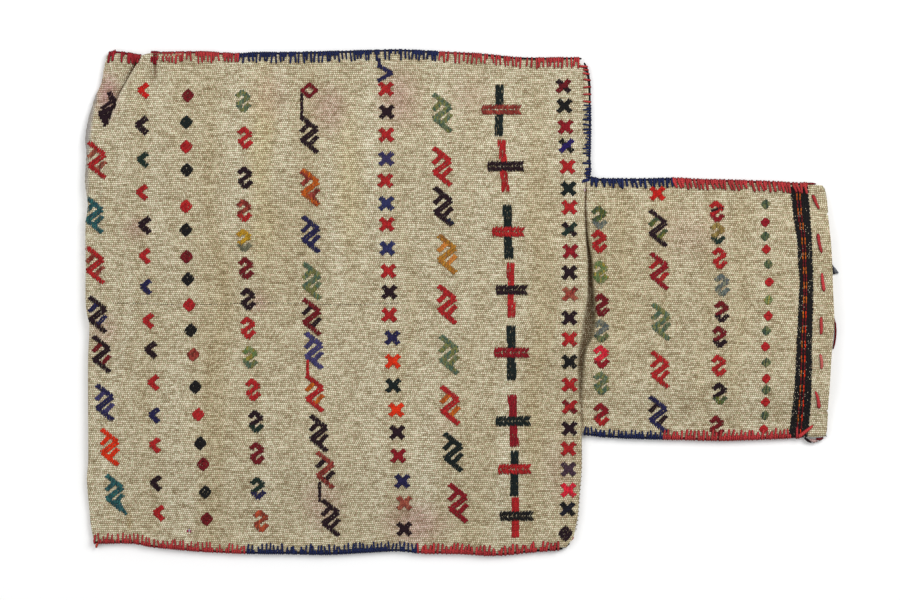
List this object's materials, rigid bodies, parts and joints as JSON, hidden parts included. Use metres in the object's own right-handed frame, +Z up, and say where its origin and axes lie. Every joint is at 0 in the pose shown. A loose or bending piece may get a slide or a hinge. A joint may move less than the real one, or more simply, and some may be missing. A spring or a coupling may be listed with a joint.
{
  "type": "kilim saddle bag",
  "caption": "Flat-woven wool saddle pouch with a wide pocket, a narrower open neck, raised yarn motifs and overcast edge seams.",
  "frame": {"origin": "under the middle of the bag's bounding box, on the surface that it lies on", "axes": "+X from the folded closed end to the open mouth of the neck, +Y across the bag towards the shoulder that has the overcast seam, +Z up from the plain back to the patterned front"},
  "size_m": [0.7558, 0.5058, 0.023],
  "materials": {
    "wool_weave": "matt ribbed flatweave",
    "red_yarn": "matt wool yarn",
    "navy_yarn": "matt wool yarn",
    "coral_yarn": "matt wool yarn",
    "cream_yarn": "matt wool yarn",
    "dark_red_yarn": "matt wool yarn",
    "slate_yarn": "matt wool yarn"
  },
  "bodies": {
    "root": {"woven_cloth": "wool_weave", "seam_red_tuck": "red_yarn", "seam_red_upper_left": "red_yarn", "seam_red_upper_right": "red_yarn", "seam_red_shoulder": "red_yarn", "seam_red_lower_left": "red_yarn", "seam_red_lower_right": "red_yarn", "seam_red_neck_upper": "red_yarn", "seam_red_neck_lower": "red_yarn", "hem_stitch_2": "red_yarn", "hem_stitch_4": "red_yarn", "hem_stitch_6": "red_yarn", "seam_navy_upper": "navy_yarn", "seam_navy_shoulder": "navy_yarn", "seam_navy_lower": "navy_yarn", "seam_navy_neck_upper": "navy_yarn", "seam_navy_neck_lower": "navy_yarn", "hem_stitch_1": "coral_yarn", "hem_stitch_3": "coral_yarn", "hem_stitch_5": "coral_yarn", "hem_stitch_7": "coral_yarn", "seam_plain_shoulder": "cream_yarn", "slack_loop": "dark_red_yarn", "cut_end": "slate_yarn"}
  },
  "joints": []
}
